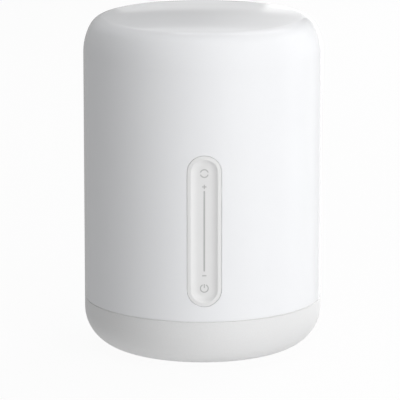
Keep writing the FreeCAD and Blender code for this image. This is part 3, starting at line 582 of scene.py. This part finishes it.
def noise(tree, coordinates, grain, detail=2.0, stretch=None):
    """A noise texture whose features are about grain millimetres wide."""
    texture = tree.nodes.new("ShaderNodeTexNoise")
    texture.inputs["Scale"].default_value = 1 / (grain * MM)
    texture.inputs["Detail"].default_value = detail
    source = coordinates.outputs["Object"]
    if stretch:
        mapping = tree.nodes.new("ShaderNodeMapping")
        mapping.inputs["Scale"].default_value = stretch
        tree.links.new(source, mapping.inputs["Vector"])
        source = mapping.outputs["Vector"]
    tree.links.new(source, texture.inputs["Vector"])
    return texture


def finish(name, light, dark, mottle, roughness, grain, depth, stretch=None, **settings):
    """A procedural surface. Its colour and roughness wander over blotches mottle wide, and
    its bump has the given grain and depth."""
    material = bpy.data.materials.new(name)
    material.use_nodes = True
    tree = material.node_tree
    shader = tree.nodes["Principled BSDF"]
    coordinates = tree.nodes.new("ShaderNodeTexCoord")
    blotches = noise(tree, coordinates, mottle, 3.0, stretch)
    spread = tree.nodes.new("ShaderNodeMapRange")
    spread.inputs["From Min"].default_value = NOISE_LOW
    spread.inputs["From Max"].default_value = NOISE_HIGH
    tree.links.new(blotches.outputs["Fac"], spread.inputs["Value"])
    blend = tree.nodes.new("ShaderNodeMix")
    blend.name = "blend"
    blend.data_type = "RGBA"
    blend.inputs[MIX_FIRST].default_value = (*light, 1)
    blend.inputs[MIX_SECOND].default_value = (*dark, 1)
    tree.links.new(spread.outputs["Result"], blend.inputs["Factor"])
    tree.links.new(blend.outputs[MIX_RESULT], shader.inputs["Base Color"])
    wander = tree.nodes.new("ShaderNodeMapRange")
    wander.inputs["From Min"].default_value = NOISE_LOW
    wander.inputs["From Max"].default_value = NOISE_HIGH
    wander.inputs["To Min"].default_value = roughness[0]
    wander.inputs["To Max"].default_value = roughness[1]
    tree.links.new(blotches.outputs["Fac"], wander.inputs["Value"])
    tree.links.new(wander.outputs["Result"], shader.inputs["Roughness"])
    grains = noise(tree, coordinates, grain, 2.0, stretch)
    bump = tree.nodes.new("ShaderNodeBump")
    bump.inputs["Distance"].default_value = depth * MM
    tree.links.new(grains.outputs["Fac"], bump.inputs["Height"])
    tree.links.new(bump.outputs["Normal"], shader.inputs["Normal"])
    for socket, value in settings.items():
        shader.inputs[socket.replace("_", " ")].default_value = value
    return material


def over(material, pattern, colour, low, high):
    """Lay a colour over a finish: none of it where the pattern's value is under low, and all
    of it where the value is over high."""
    tree = material.node_tree
    shader = tree.nodes["Principled BSDF"]
    ramp = tree.nodes.new("ShaderNodeMapRange")
    ramp.inputs["From Min"].default_value = low
    ramp.inputs["From Max"].default_value = high
    tree.links.new(pattern.outputs["Fac"], ramp.inputs["Value"])
    layer = tree.nodes.new("ShaderNodeMix")
    layer.data_type = "RGBA"
    layer.inputs[MIX_SECOND].default_value = (*colour, 1)
    tree.links.new(tree.nodes["blend"].outputs[MIX_RESULT], layer.inputs[MIX_FIRST])
    tree.links.new(ramp.outputs["Result"], layer.inputs["Factor"])
    tree.links.new(layer.outputs[MIX_RESULT], shader.inputs["Base Color"])
    return material


def grey(value, warmth=0.0):
    """A grey. A warm one has more red than blue, and a negative warmth makes it cool."""
    return (value + warmth, value, value - warmth)


def circuit_board(name, light, dark, track):
    """Solder mask with the straight copper tracks showing faintly through it."""
    material = finish(name, light, dark, mottle=6.0, roughness=(0.25, 0.4), grain=0.4, depth=0.01)
    tree = material.node_tree
    pattern = tree.nodes.new("ShaderNodeTexBrick")
    pattern.inputs["Scale"].default_value = 1 / (TRACK_PITCH * MM)
    pattern.inputs["Mortar Size"].default_value = TRACK_SHARE
    coordinates = tree.nodes.new("ShaderNodeTexCoord")
    tree.links.new(coordinates.outputs["Object"], pattern.inputs["Vector"])
    return over(material, pattern, track, 0.2, 0.8)


def ribbon_cable(name):
    """Amber film with the copper conductors that run along it."""
    material = finish(
        name, (0.72, 0.36, 0.08), (0.62, 0.3, 0.06),
        mottle=5.0, roughness=(0.25, 0.35), grain=0.5, depth=0.005,
    )
    tree = material.node_tree
    stripes = tree.nodes.new("ShaderNodeTexWave")
    stripes.bands_direction = "X"
    stripes.inputs["Scale"].default_value = WAVE_PERIOD / (CONDUCTOR_PITCH * MM)
    coordinates = tree.nodes.new("ShaderNodeTexCoord")
    tree.links.new(coordinates.outputs["Object"], stripes.inputs["Vector"])
    return over(material, stripes, (0.4, 0.16, 0.05), 0.5, 0.8)


def led_package(name):
    """Yellow phosphor with darker specks."""
    return finish(
        name, (0.9, 0.75, 0.25), (0.85, 0.66, 0.18),
        mottle=0.8, roughness=(0.2, 0.35), grain=0.15, depth=0.01,
    )


finishes = {
    "opal_shell": finish(
        "opal_shell", (0.845, 0.852, 0.868), (0.835, 0.842, 0.858),
        mottle=45.0, roughness=(0.07, 0.1), grain=1.6, depth=0.0012,
        Subsurface_Weight=0.2, Subsurface_Radius=(1.0, 1.0, 1.0), Subsurface_Scale=1.2 * MM,
    ),
    "base_shell": finish(
        "base_shell", grey(0.765, -0.002), grey(0.74, -0.002),
        mottle=0.6, roughness=(0.5, 0.62), grain=0.35, depth=0.012,
        Sheen_Weight=0.2, Sheen_Roughness=0.6,
    ),
    "touch_panel": finish(
        "touch_panel", grey(0.79), grey(0.775),
        mottle=12.0, roughness=(0.32, 0.4), grain=0.3, depth=0.003,
    ),
    "panel_marks": finish(
        "panel_marks", grey(0.5), grey(0.47),
        mottle=0.8, roughness=(0.4, 0.5), grain=0.2, depth=0.003,
    ),
    "seam_seal": finish(
        "seam_seal", grey(0.76), grey(0.72),
        mottle=2.0, roughness=(0.6, 0.75), grain=0.25, depth=0.01,
    ),
    "foot_rubber": finish(
        "foot_rubber", grey(0.12), grey(0.09),
        mottle=1.5, roughness=(0.7, 0.85), grain=0.3, depth=0.02,
    ),
    "inner_plastic": finish(
        "inner_plastic", grey(0.8), grey(0.76),
        mottle=8.0, roughness=(0.4, 0.5), grain=0.4, depth=0.01,
    ),
    "dark_plastic": finish(
        "dark_plastic", grey(0.02), grey(0.012),
        mottle=1.5, roughness=(0.35, 0.5), grain=0.25, depth=0.01,
    ),
    "steel": finish(
        "steel", grey(0.62), grey(0.52),
        mottle=0.8, roughness=(0.25, 0.4), grain=0.3, depth=0.004, stretch=(1, 1, 6), Metallic=1.0,
    ),
    "aluminium": finish(
        "aluminium", grey(0.75), grey(0.68),
        mottle=2.0, roughness=(0.4, 0.5), grain=0.2, depth=0.01, Metallic=1.0,
    ),
    "board": circuit_board("board", (0.02, 0.12, 0.05), (0.015, 0.09, 0.04), (0.05, 0.2, 0.08)),
    "white_board": circuit_board("white_board", grey(0.8), grey(0.76), grey(0.7)),
    "led": led_package("led"),
    "flex": ribbon_cable("flex"),
    "film": finish(
        "film", (0.8, 0.76, 0.66), (0.76, 0.72, 0.62),
        mottle=4.0, roughness=(0.15, 0.25), grain=0.6, depth=0.003,
    ),
    "adhesive": finish(
        "adhesive", grey(0.05), grey(0.03),
        mottle=0.8, roughness=(0.8, 0.95), grain=0.25, depth=0.05,
    ),
    "thermal": finish(
        "thermal", (0.4, 0.45, 0.55), (0.35, 0.4, 0.5),
        mottle=1.0, roughness=(0.6, 0.8), grain=0.3, depth=0.02,
    ),
    "reflector_white": finish(
        "reflector_white", grey(0.9), grey(0.88),
        mottle=10.0, roughness=(0.15, 0.25), grain=0.5, depth=0.003,
    ),
}


def dress_cad_nodes():
    """Give every CAD node the finish of its slot."""
    for row in frame["record"]["subparts"]:
        for holder in frame["nodes"][row["node"]].material_slots:
            holder.link = "OBJECT"
            holder.material = finishes[row["material_slot"]]


# ---------------------------------------------------------------- studio

# The camera looks at a point CAMERA_AIM up from the table. CAMERA_SIDESTEP is how far that
# point lies to the right of the lamp's axis, as the camera sees it.
CAMERA_AZIMUTH = -0.7
CAMERA_ELEVATION = 12.417
CAMERA_DISTANCE = 2100.0
CAMERA_AIM = 86.783
CAMERA_SIDESTEP = -1.625
LENS = 319.6
SENSOR = 36.0
VIEW_RANGE = 50.0

# The even light from all round, and the height that the soft lights face.
AMBIENT = 0.385
LAMP_MIDDLE = 100.0

# The backdrop: its flat part, the bend into the wall, and the wall's top. It lies just under
# the foot.
FLOOR_RADIUS = 4000.0
FLOOR_BEND = 1500.0
FLOOR_DROP = 0.02
WALL_TOP = 6000.0
FLOOR_GLOW = 0.93


def bearing(azimuth, elevation):
    """The direction from the lamp: azimuth 0 is the front, and 90 is towards +X."""
    turned, raised = math.radians(azimuth), math.radians(elevation)
    return Vector(
        (
            math.sin(turned) * math.cos(raised),
            -math.cos(turned) * math.cos(raised),
            math.sin(raised),
        )
    )


def camera():
    """The camera in front of the lamp, looking a little down on it."""
    out = bearing(CAMERA_AZIMUTH, CAMERA_ELEVATION)
    right = bearing(CAMERA_AZIMUTH + 90, 0)
    data = bpy.data.cameras.new("camera")
    data.lens = LENS
    data.sensor_width = SENSOR
    data.clip_end = VIEW_RANGE
    seen = bpy.data.objects.new("camera", data)
    aim = Vector((0, 0, CAMERA_AIM)) + right * CAMERA_SIDESTEP
    seen.location = (aim + out * CAMERA_DISTANCE) * MM
    seen.rotation_mode = "QUATERNION"
    seen.rotation_quaternion = (-out).to_track_quat("-Z", "Y")
    bpy.context.scene.collection.objects.link(seen)
    bpy.context.scene.camera = seen


def softbox(name, place, width, height, radiance, seen_in):
    """An even rectangular light that faces the lamp's middle and that the camera can't see.
    Its place is an azimuth, an elevation and a distance. It is seen in "matt" surfaces only,
    or in "gloss" only."""
    azimuth, elevation, distance = place
    data = bpy.data.lights.new(name, "AREA")
    data.shape = "RECTANGLE"
    data.size = width * MM
    data.size_y = height * MM
    data.energy = radiance * math.pi * data.size * data.size_y
    lamp = bpy.data.objects.new(name, data)
    out = bearing(azimuth, elevation)
    lamp.location = (Vector((0, 0, LAMP_MIDDLE)) + out * distance) * MM
    lamp.rotation_mode = "QUATERNION"
    lamp.rotation_quaternion = (-out).to_track_quat("-Z", "Y")
    lamp.visible_camera = False
    lamp.visible_diffuse = seen_in == "matt"
    lamp.visible_glossy = seen_in == "gloss"
    bpy.context.scene.collection.objects.link(lamp)
    return lamp


def faded(lamp, start, end):
    """Let a light's strength run evenly from start at one side to end at the other."""
    lamp.data.use_nodes = True
    tree = lamp.data.node_tree
    place = tree.nodes.new("ShaderNodeNewGeometry")
    split = tree.nodes.new("ShaderNodeSeparateXYZ")
    ramp = tree.nodes.new("ShaderNodeMapRange")
    ramp.inputs["To Min"].default_value = start
    ramp.inputs["To Max"].default_value = end
    tree.links.new(place.outputs["Parametric"], split.inputs["Vector"])
    tree.links.new(split.outputs["X"], ramp.inputs["Value"])
    tree.links.new(ramp.outputs["Result"], tree.nodes["Emission"].inputs["Strength"])


def backdrop():
    """A pale floor that curves up into a wall all round. Only the camera sees it, so that it
    stays even and adds nothing to the light on the lamp."""
    skin = Skin()
    outline = [(0.0, -FLOOR_DROP), *rows_across(0.0, FLOOR_RADIUS, -FLOOR_DROP, 20)]
    outline += arc((FLOOR_RADIUS, FLOOR_BEND - FLOOR_DROP), FLOOR_BEND, 180, 90, 16)
    outline.append((FLOOR_RADIUS + FLOOR_BEND, WALL_TOP))
    turn(skin, outline)
    floor = skin.build("backdrop", None)
    material = bpy.data.materials.new("backdrop")
    material.use_nodes = True
    shader = material.node_tree.nodes["Principled BSDF"]
    shader.inputs["Base Color"].default_value = (*grey(0.06), 1)
    shader.inputs["Roughness"].default_value = 1.0
    shader.inputs["Specular IOR Level"].default_value = 0.0
    shader.inputs["Emission Color"].default_value = (1, 1, 1, 1)
    shader.inputs["Emission Strength"].default_value = FLOOR_GLOW
    floor.data.materials.append(material)
    floor.visible_diffuse = False
    floor.visible_glossy = False
    floor.visible_shadow = False
    floor.visible_transmission = False
    floor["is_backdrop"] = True


def surroundings():
    """Even light from every side."""
    world = bpy.data.worlds.new("studio")
    bpy.context.scene.world = world
    world.use_nodes = True
    world.node_tree.nodes["Background"].inputs["Color"].default_value = (*grey(AMBIENT), 1)
    world.node_tree.nodes["Background"].inputs["Strength"].default_value = 1.0


def lights():
    """Large soft lights that only matt surfaces show, then the cards that only gloss shows:
    tall strips on the right, a band behind the lamp at the height of its sides, and a glow
    above and behind the crown."""
    softbox("front_right", (35, 10, 1500), 1100, 1100, 3.2, "matt")
    softbox("near_right", (45, 5, 520), 420, 420, 0.95, "matt")
    softbox("back_right", (140, 10, 1500), 1100, 1100, 3.75, "matt")
    softbox("above", (0, 89, 1500), 1200, 1200, 1.44, "matt")
    softbox("below", (-90, -84, 1500), 2000, 2000, 0.8, "matt")
    softbox("strip", (118, 6, 1600), 735, 2160, 0.32, "gloss")
    softbox("strip_edge", (94.5, 6, 1600), 590, 2160, 0.4, "gloss")
    softbox("horizon_right", (152.5, -10, 2400), 2230, 1560, 0.26, "gloss")
    softbox("edge_glow", (166, -12, 2400), 1020, 900, 0.36, "gloss")
    softbox("horizon_back", (168.5, 3.5, 1600), 856, 478, 0.34, "gloss")
    softbox("corner_glow", (170, 2, 1600), 340, 600, 0.4, "gloss")
    softbox("high_back", (175, 31, 1600), 735, 507, 0.45, "gloss")
    softbox("top_back", (175, 52.5, 1600), 522, 709, 1.1, "gloss")
    softbox("top_right", (145, 52.5, 1600), 522, 709, 1.4, "gloss")
    card = softbox("crown_card", (174, 22.5, 900), 175, 237, 0.7, "gloss")
    faded(card, 1.0, 0.0)


bpy.context.scene.view_settings.view_transform = "Standard"
camera()
surroundings()
backdrop()
lights()
dress_cad_nodes()
diffuser_shell()
base_shell()
seam_gasket()
bottom_cover()
foot_ring()
control_panel()

visual_low, visual_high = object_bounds()
boxes = {"cad": (cad_low, cad_high), "visual": (visual_low, visual_high)}
{name: [list(corner) for corner in box] for name, box in boxes.items()}
